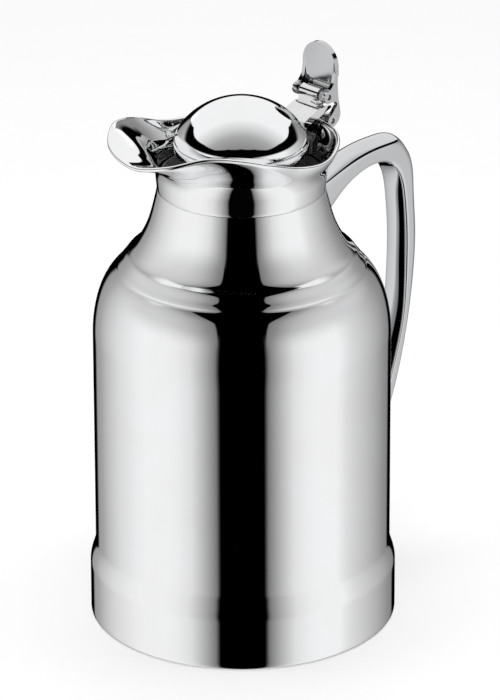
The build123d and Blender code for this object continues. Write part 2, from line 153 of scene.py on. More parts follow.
# finishes
finishes = {
    "chromeTint": (0.885, 0.89, 0.90), "chromeWarm": (0.87, 0.872, 0.875),
    "gripTint": (0.66, 0.667, 0.685), "gripWarm": (0.635, 0.64, 0.65),
    "leverTint": (0.56, 0.565, 0.575), "leverWarm": (0.53, 0.53, 0.535),
    "castTint": (0.76, 0.765, 0.77), "castWarm": (0.72, 0.72, 0.715),
    "chromeRough": 0.025,
    "steelTint": (0.62, 0.62, 0.61), "steelStain": (0.50, 0.50, 0.49),
    "glassTint": (0.80, 0.80, 0.78), "glassStain": (0.70, 0.69, 0.65),
    "rubberTint": (0.60, 0.60, 0.58), "rubberStain": (0.52, 0.52, 0.50),
    "plasticTint": (0.018, 0.018, 0.019), "plasticWear": (0.035, 0.035, 0.036),
    "foamTint": (0.86, 0.85, 0.80), "foamStain": (0.72, 0.70, 0.62),
    "padTint": (0.62, 0.57, 0.48), "padPale": (0.74, 0.70, 0.60),
}


def polishedChrome(name, rough, wave, part="chrome"):
    # mirror plating: faint cloudy wipe marks and hair-fine polishing lines
    material, recipe, shader = newFinish(name, Metallic=1.0)
    cloud = recipe.noise(38.0, 4.0)
    hairs = recipe.noise(900.0, 2.0, 0.6, (1, 1, 0.04))
    tint = recipe.blend(cloud.ease(0.35, 0.7), finishes[part + "Tint"], finishes[part + "Warm"])
    roughness = rough + cloud.ease(0.5, 0.8) * 0.018 + hairs.ease(0.62, 0.8) * 0.012
    dents = recipe.noise(14.0, 1.0)
    normal = recipe.bump(dents + hairs * 0.02, wave)
    feed(recipe, shader, Base_Color=tint, Roughness=roughness, Normal=normal)
    return material


def turnedSteel():
    material, recipe, shader = newFinish("turnedSteel", Metallic=1.0)
    lines = recipe.noise(2600.0, 2.0, 0.7, (0.15, 0.15, 1))
    stain = recipe.noise(120.0, 4.0)
    tint = recipe.blend(stain.ease(0.4, 0.75), finishes["steelTint"], finishes["steelStain"])
    roughness = 0.20 + lines * 0.12 + stain * 0.06
    feed(recipe, shader, Base_Color=tint, Roughness=roughness, Normal=recipe.bump(lines, 0.000015))
    return material


def silveredGlass():
    material, recipe, shader = newFinish("silveredGlass", Metallic=0.92, Coat_Weight=0.8, Coat_Roughness=0.02)
    swirl = recipe.noise(22.0, 3.0)
    thin = recipe.noise(150.0, 4.0, 0.6)
    tint = recipe.blend(swirl.ease(0.4, 0.7), finishes["glassTint"], finishes["glassStain"])
    roughness = 0.05 + thin.ease(0.55, 0.8) * 0.12
    feed(recipe, shader, Base_Color=tint, Roughness=roughness, Normal=recipe.bump(swirl, 0.0002))
    return material


def mouldedRubber():
    material, recipe, shader = newFinish("mouldedRubber", Subsurface_Weight=0.12, Specular_IOR_Level=0.35)
    shader.inputs["Subsurface Radius"].default_value = (0.002, 0.002, 0.002)
    dust = recipe.noise(260.0, 4.0)
    grain = recipe.noise(2400.0, 2.0)
    tint = recipe.blend(dust.ease(0.4, 0.75), finishes["rubberTint"], finishes["rubberStain"])
    roughness = 0.46 + dust * 0.16
    feed(recipe, shader, Base_Color=tint, Roughness=roughness, Normal=recipe.bump(grain, 0.00003))
    return material


def mouldedPlastic():
    # fine spark-eroded grain of a moulded black part
    material, recipe, shader = newFinish("mouldedPlastic", Specular_IOR_Level=0.45)
    grain = recipe.noise(3200.0, 2.0)
    wear = recipe.noise(90.0, 5.0)
    tint = recipe.blend(wear.ease(0.5, 0.8), finishes["plasticTint"], finishes["plasticWear"])
    roughness = 0.38 + wear * 0.14 + grain * 0.08
    feed(recipe, shader, Base_Color=tint, Roughness=roughness, Normal=recipe.bump(grain, 0.00004))
    return material


def openFoam():
    material, recipe, shader = newFinish("openFoam", Specular_IOR_Level=0.2)
    cells = recipe.make("ShaderNodeTexVoronoi", {"feature": "F1"}, {"Vector": recipe.place(), "Scale": 1400.0})
    stain = recipe.noise(180.0, 4.0)
    tint = recipe.blend(stain.ease(0.4, 0.8), finishes["foamTint"], finishes["foamStain"])
    roughness = 0.8 + cells * 0.15
    feed(recipe, shader, Base_Color=tint, Roughness=roughness, Normal=recipe.bump(cells, 0.00015))
    return material


def fibrePad():
    material, recipe, shader = newFinish("fibrePad", Specular_IOR_Level=0.15, Sheen_Weight=0.3)
    fibres = recipe.noise(1700.0, 5.0, 0.7, (1, 1, 0.12))
    tint = recipe.blend(fibres.ease(0.35, 0.7), finishes["padTint"], finishes["padPale"])
    roughness = 0.82 + fibres * 0.12
    feed(recipe, shader, Base_Color=tint, Roughness=roughness, Normal=recipe.bump(fibres, 0.00012))
    return material


chrome = polishedChrome("polishedChrome", finishes["chromeRough"], 0.00001)
gripChrome = polishedChrome("platedGrip", 0.035, 0.00001, "grip")
castChrome = polishedChrome("platedCasting", 0.06, 0.00003, "cast")
leverChrome = polishedChrome("satinLever", 0.09, 0.00003, "lever")
steel = turnedSteel()
glassSilver = silveredGlass()
rubber = mouldedRubber()
plastic = mouldedPlastic()
foam = openFoam()
fibre = fibrePad()
print("finishes made:", len(bpy.data.materials))


# outlines, in millimetres: x outwards from the axis, z up
def smoothLine(points, start=None, end=None, step=1.2):
    # a cubic spline through the points, with set directions at its ends where given
    p = np.array(points, float)
    gaps = np.linalg.norm(np.diff(p, axis=0), axis=1)
    count = len(p)
    a = np.zeros((count, count))
    b = np.zeros((count, 2))
    for i in range(1, count - 1):
        a[i, i - 1] = gaps[i]
        a[i, i] = 2 * (gaps[i - 1] + gaps[i])
        a[i, i + 1] = gaps[i - 1]
        b[i] = 3 * (gaps[i] / gaps[i - 1] * (p[i] - p[i - 1]) + gaps[i - 1] / gaps[i] * (p[i + 1] - p[i]))
    for i, near, way in ((0, 1, start), (count - 1, count - 2, end)):
        gap = gaps[0] if i == 0 else gaps[-1]
        a[i, i] = 1 if way else 2
        if way:
            b[i] = np.array(way) / np.linalg.norm(way)
        else:
            a[i, near] = 1
            b[i] = 3 * (p[near] - p[i]) / gap * (1 if i == 0 else -1)
    slope = np.linalg.solve(a, b)
    line = []
    for i, gap in enumerate(gaps):
        for t in np.linspace(0, 1, max(2, math.ceil(gap / step)), endpoint=False):
            line.append((2 * t**3 - 3 * t**2 + 1) * p[i] + (t**3 - 2 * t**2 + t) * gap * slope[i]
                        + (3 * t**2 - 2 * t**3) * p[i + 1] + (t**3 - t**2) * gap * slope[i + 1])
    line.append(p[-1])
    return [tuple(point) for point in line]


def straightLine(a, b, step=1.5):
    count = max(1, math.ceil(math.dist(a, b) / step))
    return [(a[0] + (b[0] - a[0]) * i / count, a[1] + (b[1] - a[1]) * i / count) for i in range(count + 1)]


def curvedLine(controls, count=26):
    # a Bezier with four control points
    c = np.array(controls, float)
    return [tuple((1 - t)**3 * c[0] + 3 * t * (1 - t)**2 * c[1] + 3 * t * t * (1 - t) * c[2] + t**3 * c[3])
            for t in np.linspace(0, 1, count)]


def softCorners(points, radius, step=1.6, closed=True):
    # the polygon with each corner rounded, and long sides divided
    result = []
    count = len(points)
    for i, corner in enumerate(points):
        here = np.array(corner, float)
        if not closed and i in (0, count - 1):
            result.append([tuple(here)])
            continue
        before = np.array(points[i - 1], float)
        after = np.array(points[(i + 1) % count], float)
        reach = min(radius, math.dist(before, here) * 0.4, math.dist(after, here) * 0.4)
        a = here + (before - here) / math.dist(before, here) * reach
        b = here + (after - here) / math.dist(after, here) * reach
        arc = [(1 - t)**2 * a + 2 * t * (1 - t) * here + t * t * b for t in np.linspace(0, 1, 5)]
        result.append([tuple(point) for point in arc])
    line = []
    pairs = list(zip(result, result[1:] + ([result[0]] if closed else [])))
    for now, following in pairs:
        line += now
        side = straightLine(now[-1], following[0], step)
        line += side[1:-1]
    line += [result[0][0]] if closed else result[-1]
    return line


def besideLine(points, distance):
    p = np.array(points, float)
    way = np.gradient(p, axis=0)
    way /= np.linalg.norm(way, axis=1)[:, None]
    return [tuple(point) for point in p + distance * np.stack([-way[:, 1], way[:, 0]], 1)]


# Geometry Nodes
def newTree(name, inputs):
    tree = bpy.data.node_groups.new(name, "GeometryNodeTree")
    tree.is_modifier = True
    tree.interface.new_socket("Geometry", in_out="OUTPUT", socket_type="NodeSocketGeometry")
    for label, kind in inputs:
        tree.interface.new_socket(label, in_out="INPUT", socket_type="NodeSocket" + kind)
    return tree


def makeIn(tree, kind, settings=None, sockets=None, out=0):
    node = tree.nodes.new(kind)
    for name, value in (settings or {}).items():
        setattr(node, name, value)
    for key, value in (sockets or {}).items():
        if isinstance(value, bpy.types.NodeSocket):
            tree.links.new(value, node.inputs[key])
        else:
            node.inputs[key].default_value = value
    return node.outputs[out]


def finishTree(tree, geometry, material):
    real = makeIn(tree, "GeometryNodeRealizeInstances", {}, {0: geometry})
    smooth = makeIn(tree, "GeometryNodeSetShadeSmooth", {}, {"Geometry": real})
    dressed = makeIn(tree, "GeometryNodeSetMaterial", {}, {"Geometry": smooth, "Material": material})
    ending = tree.nodes.new("NodeGroupOutput")
    tree.links.new(dressed, ending.inputs["Geometry"])


def mathIn(tree, operation, *values):
    return makeIn(tree, "ShaderNodeMath", {"operation": operation}, dict(enumerate(values)))


def turnedTree():
    # an outline turned about the upright axis
    tree = newTree("turnedPiece", [("Outline", "Geometry"), ("Steps", "Int"), ("Finish", "Material")])
    given = tree.nodes.new("NodeGroupInput").outputs
    count = makeIn(tree, "GeometryNodeAttributeDomainSize", {}, {0: given["Outline"]})
    across = mathIn(tree, "ADD", given["Steps"], 1.0)
    grid = makeIn(tree, "GeometryNodeMeshGrid", {}, {"Size X": 1.0, "Size Y": 1.0, "Vertices X": across,
                                                     "Vertices Y": count})
    spot = makeIn(tree, "GeometryNodeInputPosition")
    parts = tree.nodes.new("ShaderNodeSeparateXYZ")
    tree.links.new(spot, parts.inputs[0])
    turn = mathIn(tree, "MULTIPLY", mathIn(tree, "ADD", parts.outputs[0], 0.5), 2 * math.pi)
    last = mathIn(tree, "SUBTRACT", count, 1.0)
    row = mathIn(tree, "ROUND", mathIn(tree, "MULTIPLY", mathIn(tree, "ADD", parts.outputs[1], 0.5), last))
    outline = makeIn(tree, "GeometryNodeSampleIndex", {"data_type": "FLOAT_VECTOR"},
                     {"Geometry": given["Outline"], "Value": spot, "Index": row})
    sides = tree.nodes.new("ShaderNodeSeparateXYZ")
    tree.links.new(outline, sides.inputs[0])
    x = mathIn(tree, "MULTIPLY", sides.outputs[0], mathIn(tree, "COSINE", turn))
    y = mathIn(tree, "MULTIPLY", sides.outputs[0], mathIn(tree, "SINE", turn))
    there = makeIn(tree, "ShaderNodeCombineXYZ", {}, {0: x, 1: y, 2: sides.outputs[2]})
    moved = makeIn(tree, "GeometryNodeSetPosition", {}, {"Geometry": grid, "Position": there})
    joined = makeIn(tree, "GeometryNodeMergeByDistance", {}, {"Geometry": moved, "Distance": 0.000004})
    finishTree(tree, joined, given["Finish"])
    return tree


def coilTree():
    # a wire wound round an upright axis
    inputs = [("Start", "Geometry"), ("Turns", "Float"), ("Radius", "Float"), ("Length", "Float"),
              ("Wire", "Float"), ("Finish", "Material")]
    tree = newTree("woundCoil", inputs)
    given = tree.nodes.new("NodeGroupInput").outputs
    sockets = {"Resolution": 28, "Rotations": given["Turns"], "Start Radius": given["Radius"],
               "End Radius": given["Radius"], "Height": given["Length"]}
    spiral = makeIn(tree, "GeometryNodeCurveSpiral", {}, sockets)
    ring = makeIn(tree, "GeometryNodeCurvePrimitiveCircle", {}, {"Resolution": 10, "Radius": given["Wire"]})
    tube = makeIn(tree, "GeometryNodeCurveToMesh", {}, {"Curve": spiral, "Profile Curve": ring,
                                                        "Fill Caps": True})
    finishTree(tree, tube, given["Finish"])
    return tree


def repeatTree():
    # one object put at every point, turned the same way
    inputs = [("Spots", "Geometry"), ("Part", "Object"), ("Turn", "Rotation"), ("Finish", "Material")]
    tree = newTree("repeatedPart", inputs)
    given = tree.nodes.new("NodeGroupInput").outputs
    part = makeIn(tree, "GeometryNodeObjectInfo", {}, {"Object": given["Part"]}, "Geometry")
    copies = makeIn(tree, "GeometryNodeInstanceOnPoints", {}, {"Points": given["Spots"], "Instance": part,
                                                               "Rotation": given["Turn"]})
    finishTree(tree, copies, given["Finish"])
    return tree


trees = {"turned": turnedTree(), "coil": coilTree(), "repeat": repeatTree()}


def addObject(name, mesh):
    thing = bpy.data.objects.new(name, mesh)
    bpy.context.scene.collection.objects.link(thing)
    return thing


def outlineMesh(name, points):
    mesh = bpy.data.meshes.new(name)
    mesh.from_pydata(points, [(i, i + 1) for i in range(len(points) - 1)], [])
    return mesh


def bake(thing, name):
    # the evaluated shape becomes a plain mesh of its own
    graph = bpy.context.evaluated_depsgraph_get()
    graph.update()
    mesh = bpy.data.meshes.new_from_object(thing.evaluated_get(graph), depsgraph=graph)
    bpy.data.objects.remove(thing)
    mesh.name = name
    return addObject(name, mesh)


def runTree(name, mesh, tree, **values):
    thing = addObject(name + "Source", mesh)
    modifier = thing.modifiers.new("shape", "NODES")
    modifier.node_group = tree
    for item in tree.interface.items_tree:
        if item.in_out == "INPUT" and item.name in values:
            modifier[item.identifier] = values[item.name]
    return bake(thing, name)


def tidyMesh(thing):
    work = bmesh.new()
    work.from_mesh(thing.data)
    bmesh.ops.remove_doubles(work, verts=work.verts, dist=0.000003)
    bmesh.ops.dissolve_degenerate(work, edges=work.edges, dist=0.000001)
    bmesh.ops.recalc_face_normals(work, faces=work.faces)
    work.to_mesh(thing.data)
    work.free()
    return thing


def moveMesh(thing, matrix):
    thing.data.transform(matrix)
    thing.data.update()
    return thing


def turned(name, outline, finish, steps=144):
    points = [(max(x, 0) * mm, 0, z * mm) for x, z in outline]
    made = runTree(name, outlineMesh(name, points), trees["turned"], Steps=steps, Finish=finish)
    return tidyMesh(made)


def applyAll(thing):
    return bake(thing, thing.name)


def cutAway(thing, cutter):
    knife = thing.modifiers.new("cut", "BOOLEAN")
    knife.operation = "DIFFERENCE"
    knife.solver = "EXACT"
    knife.object = cutter
    made = applyAll(thing)
    bpy.data.objects.remove(cutter)
    return made


def blockMesh(name, low, high):
    work = bmesh.new()
    bmesh.ops.create_cube(work, size=1.0)
    mesh = bpy.data.meshes.new(name)
    work.to_mesh(mesh)
    work.free()
    centre = [(a + b) / 2 * mm for a, b in zip(low, high)]
    size = [(b - a) * mm for a, b in zip(low, high)]
    mesh.transform(Matrix.Translation(centre) @ Matrix.Diagonal((*size, 1)))
    return addObject(name, mesh)


def place(thing, body, slotName, *nodes):
    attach(thing, body)
    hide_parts(*nodes)


def shadeByAngle(mesh, degrees=32):
    mesh.shade_smooth()
    mesh.set_sharp_from_angle(angle=math.radians(degrees))


def softCopy(name, node, width, finish, segments=3):
    # a CAD node's copy with its flats rejoined and every hard edge rounded over
    thing = addObject(name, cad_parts[node].data.copy())
    work = bmesh.new()
    work.from_mesh(thing.data)
    bmesh.ops.remove_doubles(work, verts=work.verts, dist=0.000002)
    bmesh.ops.dissolve_degenerate(work, edges=work.edges, dist=0.000001)
    bmesh.ops.dissolve_limit(work, angle_limit=math.radians(1.0), verts=work.verts, edges=work.edges)
    work.to_mesh(thing.data)
    work.free()
    thing.data.materials.clear()
    thing.data.materials.append(finish)
    bevel = thing.modifiers.new("soft", "BEVEL")
    bevel.width = width * mm
    bevel.segments = segments
    bevel.limit_method = "ANGLE"
    bevel.angle_limit = math.radians(38)
    bevel.harden_normals = False
    made = applyAll(thing)
    shadeByAngle(made.data, 40)
    weighted = made.modifiers.new("even", "WEIGHTED_NORMAL")
    weighted.keep_sharp = True
    return applyAll(made)


# body of the pot
pot = {
    "bodyRadius": 64.0, "bandRadius": 66.4, "bandTop": 23.0, "bodyFoot": 34.0, "shoulderStart": 130.0,
    "neckRadius": 35.9, "neckTop": 196.2, "sheet": 1.0, "seamSoft": 0.22, "steps": 200,
    "shoulder": [(62.4, 144), (58.6, 154), (53.3, 160.2)],
    "bead": [(53.3, 160.2), (51.3, 163.3), (48.2, 167.0)],
    "throat": [(48.2, 167.0), (43.9, 172), (40.1, 180), (37.3, 190)],
    "footEdge": [(62.5, 1.4), (62.5, 0.4), (65.4, 0.4), (65.78, 0.48), (66.1, 0.69), (66.32, 1.02)],
}


def bodyOutline():
    p = pot
    midR, midZ = (p["bandRadius"] + p["bodyRadius"]) / 2, (p["bandTop"] + p["bodyFoot"]) / 2
    parts = [
        straightLine((p["bandRadius"], 1.4), (p["bandRadius"], p["bandTop"])),
        smoothLine([(p["bandRadius"], p["bandTop"]), (midR, midZ), (p["bodyRadius"], p["bodyFoot"])],
                   (0, 1), (0, 1), 0.6),
        straightLine((p["bodyRadius"], p["bodyFoot"]), (p["bodyRadius"], p["shoulderStart"]), 3.0),
        smoothLine([(p["bodyRadius"], p["shoulderStart"])] + p["shoulder"], (0, 1), (-0.80, 0.60), 1.0),
        smoothLine(p["bead"], (-0.20, 1), (-0.87, 0.49), 0.45),
        smoothLine(p["throat"] + [(p["neckRadius"], p["neckTop"])], (-0.87, 0.49), (-0.2, 1), 0.8),
    ]
    line = []
    for part in parts:
        line += part if not line else part[1:]
    return line


def makeBody():
    outside = bodyOutline()
    soft = pot["seamSoft"]
    inside = besideLine(outside, pot["sheet"])[2:-1]
    top = [(pot["neckRadius"] - soft * 0.3, pot["neckTop"] - soft * 0.25),
           (pot["neckRadius"] - soft, pot["neckTop"]), (pot["neckRadius"] - pot["sheet"], pot["neckTop"])]
    outline = outside[:-1] + [(pot["neckRadius"] + 0.02, pot["neckTop"] - soft)] + top
    outline += inside[::-1] + pot["footEdge"] + [outside[0]]
    body = turned("bodyShell", outline, chrome, pot["steps"])
    place(body, "pot", "chrome", "outer_shell")


makeBody()
print("body made")


# collar with its wavy rim and spout
rim = {
    "footHeight": 204.0, "footRadius": 36.6, "wall": 1.2, "lip": 1.8, "steps": 240,
    "stations": [(0, 63.6, 221.4), (15, 62.9, 224.6), (30, 56.5, 228.2), (45, 50.4, 226.0),
                 (60, 46.6, 222.1), (80, 41.5, 216.8), (105, 41.6, 214.3), (135, 41.8, 216.6),
                 (180, 41.7, 216.6)],
}


def rimAt(angle):
    stations = rim["stations"]
    table = [(-a, r, z) for a, r, z in stations[2:0:-1]] + stations
    table += [(360 - a, r, z) for a, r, z in stations[-2:-4:-1]]
    spot = max(i for i in range(2, len(table) - 3) if table[i][0] <= angle)
    a, b, c, d = table[spot - 1:spot + 3]
    span = c[0] - b[0]
    t = (angle - b[0]) / span
    result = []
    for k in (1, 2):
        slopeB = (c[k] - a[k]) / (c[0] - a[0]) * span
        slopeC = (d[k] - b[k]) / (d[0] - b[0]) * span
        result.append(b[k] + slopeB * t * (1 - t)**2 - slopeC * t * t * (1 - t)
                      + (c[k] - b[k]) * t * t * (3 - 2 * t))
    return result


def movedIn(points, distances):
    inner = []
    for i, point in enumerate(points):
        before, after = points[max(0, i - 1)], points[min(len(points) - 1, i + 1)]
        dx, dz = after[0] - before[0], after[1] - before[1]
        reach = distances[i] / math.hypot(dx, dz)
        inner.append((point[0] - dz * reach, point[1] + dx * reach))
    return inner


def collarOutline(radius, height):
    reach, rise = radius - rim["footRadius"], height - rim["footHeight"]
    lean = min(1.0, reach / 30)
    foot = (rim["footRadius"], rim["footHeight"])
    outer = [foot, (foot[0] + 0.08 * rise, foot[1] + 0.50 * rise),
             (radius - (0.18 + 0.42 * lean) * reach, height - (0.38 - 0.12 * lean) * rise), (radius, height)]
    inner = movedIn(outer, [rim["wall"]] * 3 + [rim["lip"]])
    inner[0] = (foot[0] - rim["wall"], foot[1])
    soft = pot["seamSoft"]
    low = pot["neckTop"]
    edge = [(pot["neckRadius"] - rim["wall"], low), (pot["neckRadius"] - soft, low),
            (pot["neckRadius"] - soft * 0.3, low + soft * 0.3), (pot["neckRadius"] + 0.02, low + soft)]
    wall = straightLine((pot["neckRadius"] + 0.02, low + soft), outer[0], 1.3)[1:-1]
    # the lip is a rolled bead: a half circle over the two ends
    middle = np.array([(outer[3][0] + inner[3][0]) / 2, (outer[3][1] + inner[3][1]) / 2])
    across = np.array(outer[3]) - middle
    along = np.array([-across[1], across[0]])
    lip = [tuple(middle + across * math.cos(a) + along * math.sin(a)) for a in np.linspace(0, math.pi, 11)]
    down = straightLine(inner[0], (pot["neckRadius"] - rim["wall"], low), 1.3)
    return edge + wall + curvedLine(outer, 30)[:-1] + lip + curvedLine(inner[::-1], 30)[1:-1] + down


def ringMesh(name, rings, finish, closed=True):
    # skins a row of equal closed outlines, given as lists of 3-D points in millimetres
    count = len(rings[0])
    points = [tuple(np.array(point) * mm) for ring in rings for point in ring]
    faces = []
    for i in range(len(rings) if closed else len(rings) - 1):
        here, there = i * count, (i + 1) % len(rings) * count
        for j in range(count):
            k = (j + 1) % count
            faces.append((here + j, here + k, there + k, there + j))
    if not closed:
        faces.append(tuple(range(count)))
        faces.append(tuple(range((len(rings) - 1) * count, len(rings) * count)))
    mesh = bpy.data.meshes.new(name)
    mesh.from_pydata(points, [], faces)
    mesh.materials.append(finish)
    mesh.shade_smooth()
    return tidyMesh(addObject(name, mesh))


def makeCollar():
    rings = []
    for step in range(rim["steps"]):
        angle = step * 360 / rim["steps"]
        outline = collarOutline(*rimAt(min(angle, 360 - angle)))
        turn = math.radians(angle)
        rings.append([(-r * math.cos(turn), -r * math.sin(turn), z) for r, z in outline[:-1]])
    collar = ringMesh("collarAndSpout", rings, chrome)
    place(collar, "pot", "chrome", "collar")


makeCollar()
print("collar made")


# handle
grip = {
    "half": 6.5, "crown": 3.0, "innerCrown": 0.9, "edge": 1.5, "stations": 150, "knee": (89.4, 181.6),
    "top": [(34.0, 184.2), (47.0, 187.9), (57.7, 190.9), (66.4, 192.7), (75.1, 193.7), (83.5, 193.8),
            (92.3, 192.2)],
    "back": [(97.0, 186.0), (100.2, 168.0), (101.4, 150.0), (100.3, 128.1), (94.4, 95.2), (87.5, 73.3),
             (76.0, 52.0), (60.0, 34.5)],
    "front": [(60.0, 54.0), (73.0, 63.5), (83.0, 76.0), (89.7, 92.8), (93.8, 108.1), (95.9, 129.4),
              (96.2, 148.0), (94.8, 165.0), (91.6, 178.0), (86.5, 184.3), (76.6, 187.1), (66.5, 185.5),
              (57.9, 181.7), (48.6, 174.6), (36.0, 164.0)],
}


def evenly(line, count):
    p = np.array(line)
    run = np.concatenate([[0], np.cumsum(np.linalg.norm(np.diff(p, axis=0), axis=1))])
    want = np.linspace(0, run[-1], count)
    return np.stack([np.interp(want, run, p[:, 0]), np.interp(want, run, p[:, 1])], 1)


def gripOutside(crown):
    top, back = grip["top"], grip["back"]
    corner = (back[0][0] - 1.6 + 0.6 * crown, back[0][1] + 2.4 + 0.6 * crown)
    raised = [(x, z + crown * min(1, (x - 34) / 30)) for x, z in top]
    share = [1, 1, 1, 1, 0.9, 0.7, 0.3, 0]
    pushed = [(x + crown * part, z) for (x, z), part in zip(back, share)]
    first = evenly(smoothLine(raised + [corner]), grip["stations"] // 3)
    second = evenly(smoothLine([corner] + pushed), grip["stations"] - grip["stations"] // 3 + 1)
    line = np.concatenate([first, second[1:]])
    for _ in range(2):  # eases the crown's corner
        line[1:-1] = line[1:-1] * 0.5 + (line[:-2] + line[2:]) * 0.25
    return line


def gripInside():
    inner = smoothLine(grip["front"])[::-1]
    knee = min(range(len(inner)), key=lambda i: math.dist(inner[i], grip["knee"]))
    first = evenly(inner[:knee + 1], grip["stations"] // 3)
    second = evenly(inner[knee:], grip["stations"] - grip["stations"] // 3 + 1)
    return np.concatenate([first, second[1:]])


def makeHandle():
    flat, proud, inner = gripOutside(0), gripOutside(grip["crown"]), gripInside()
    half, edge = grip["half"], grip["edge"]
    rings = []
    for low, high, top in zip(inner, flat, proud):
        way = high - low
        length = np.linalg.norm(way)
        way = way / length
        swell = top - high
        ring = []
        for a in np.linspace(0, math.pi / 2, 6):  # near inner edge
            ring.append((half - edge * 0.8 + edge * 0.8 * math.sin(a), edge * 0.8 * (1 - math.cos(a)), 0))
        for part in (0.3, 0.5, 0.7):
            ring.append((half, length * part, 0))
        for a in np.linspace(0, math.pi / 2, 6):  # near outer edge
            y = half - edge + edge * math.cos(a)
            ring.append((y, length - edge * (1 - math.sin(a)), 1 - (y / half)**2))
        for y in np.linspace(half - edge, 0, 7)[1:]:
            ring.append((y, length, 1 - (y / half)**2))
        whole = ring + [(-y, s, c) for y, s, c in ring[-2::-1]]
        for y in np.linspace(-half + edge * 0.8, half - edge * 0.8, 7)[1:-1]:
            whole.append((y, 0, 0))
        points = []
        for y, reach, share in whole:
            inward = grip["innerCrown"] * (1 - (y / half)**2) * (1 - reach / length)
            spot = low + way * (reach - inward) + swell * share * (reach / length)
            points.append((spot[0], y, spot[1]))
        rings.append(points)
    handle = ringMesh("handleGrip", rings, gripChrome, closed=False)
    block = besideLine(bodyOutline(), -0.05)
    plug = turned("bodyPlug", [(0, block[0][1])] + block + [(0, block[-1][1])], chrome, 160)
    handle = cutAway(handle, plug)
    shadeByAngle(handle.data, 45)
    place(handle, "pot", "chrome", "handle")


makeHandle()
print("handle made")


# lid
lid = {
    "radius": 28.5, "joint": 216.6, "domeRadius": 33.0, "domeTop": 236.0, "domeEdge": 9.0, "skin": 1.0,
    "steps": 160, "notchLow": (20.0, -7.7, 213.375), "notchHigh": (34.0, 7.7, 219.325),
}


def domeLine(depth):
    centre = lid["domeTop"] - lid["domeRadius"]
    edgeX = lid["radius"] - lid["domeEdge"]
    edgeZ = centre + math.sqrt((lid["domeRadius"] - lid["domeEdge"])**2 - edgeX**2)
    turn = math.atan2(edgeZ - centre, edgeX)
    big, small = lid["domeRadius"] - depth, lid["domeEdge"] - depth
    cap = [(big * math.cos(a), centre + big * math.sin(a)) for a in np.linspace(math.pi / 2, turn, 34)]
    cap[0] = (0, cap[0][1])
    side = [(edgeX + small * math.cos(a), edgeZ + small * math.sin(a)) for a in np.linspace(turn, 0, 20)]
    return cap + side[1:]


def makeLid():
    outside, inside = domeLine(0), domeLine(lid["skin"])
    wall = straightLine(outside[-1], (outside[-1][0], lid["joint"] + 0.25), 0.6)
    rimEdge = [(lid["radius"] - 0.1, lid["joint"] + 0.06), (lid["radius"] - 0.3, lid["joint"]),
               (lid["radius"] - lid["skin"], lid["joint"])]
    dome = turned("lidDome", outside + wall[1:] + rimEdge + inside[::-1], chrome, lid["steps"])
    place(dome, "lid", "chrome", "lid_dome")

    band, top, spigot = lid["radius"] + 0.25, lid["joint"] - 0.05, lid["radius"] - 1.2
    ring = [(2.2, 210.8), (26.6, 210.8), (band - 0.3, 212.6), (band, 213.4), (band, top), (spigot, top),
            (spigot, 218.4), (spigot - 1, 218.4), (spigot - 1, 213.3), (2.2, 213.3)]
    base = turned("lidBase", softCorners(ring, 0.35), chrome, lid["steps"])
    notch = blockMesh("notchBlock", lid["notchLow"], lid["notchHigh"])
    base = cutAway(base, notch)
    shadeByAngle(base.data, 40)
    place(base, "lid", "chrome", "lid_base")


makeLid()
print("lid made")


# stopper under the lid
stopper = {
    "body": [(0, 187.0), (13.5, 187.0), (15.8, 193.0), (15.8, 196.4), (20.0, 197.6), (18.5, 205),
             (17.6, 210.7), (16.0, 210.7), (16.0, 199), (4.5, 197.4), (4.5, 210.7), (2.2, 210.7),
             (2.2, 190.0), (0, 190.0)],
    "seal": [(15.9, 193.55), (24.0, 193.55), (24.4, 194.4), (23.0, 196.2), (20.5, 197.45), (15.9, 196.2)],
    "foam": [(4.7, 199), (15.8, 200.2), (15.8, 210.5), (4.7, 210.5)],
}


def makeStopper():
    body = turned("stopperPlug", softCorners(stopper["body"], 0.5, closed=False), plastic, 96)
    place(body, "lid", "black_plastic", "stopper_body")
    seal = turned("stopperSeal", softCorners(stopper["seal"], 0.45, 0.8), rubber, 128)
    place(seal, "lid", "silicone", "stopper_seal")
    filling = turned("stopperFoam", softCorners(stopper["foam"], 0.6), foam, 72)
    place(filling, "lid", "foam", "stopper_foam")


makeStopper()
print("stopper made")


# hinge
hinge = {
    "bracketSoft": 0.35, "leverSoft": 0.35, "armSoft": 0.3, "gap": (5.2, 6.2), "gapDeep": 2.3,
    "gapOut": 3.6, "leverPin": (45.6, 216.2), "lidPin": (43.4, 227.4), "pinRadius": 1.2, "pinHalf": 9.15,
    "coilRadius": 2.2, "coilWire": 0.45, "coilHalf": 4.5, "coilTurns": 8.0,
}


def alongY(x, z):
    return Matrix.Translation((x * mm, 0, z * mm)) @ Matrix.Rotation(math.radians(-90), 4, "X")


def makePin(name, spot, body, node):
    r, h = hinge["pinRadius"], hinge["pinHalf"]
    line = [(0, -h), (r - 0.45, -h), (r - 0.15, -h + 0.12), (r, -h + 0.45)]
    line += straightLine((r, -h + 0.45), (r, h - 0.45), 1.2)[1:]
    line += [(r - 0.15, h - 0.12), (r - 0.45, h), (0, h)]
    pin = moveMesh(turned(name, line, steel, 32), alongY(*spot))
    place(pin, body, "steel", node)


def openGaps(thing):
    # a clear gap beside each knuckle, down to just above the pin
    for side in (-1, 1):
        low, high = sorted(side * edge for edge in hinge["gap"])
        deep, out = hinge["gapDeep"], hinge["gapOut"]
        line = softCorners([(deep, low), (out, low), (out, high), (deep, high)], 0.1)
        ring = moveMesh(turned("gapRing", line, steel, 40), alongY(*hinge["lidPin"]))
        thing = cutAway(thing, ring)
    shadeByAngle(thing.data, 35)
    return thing


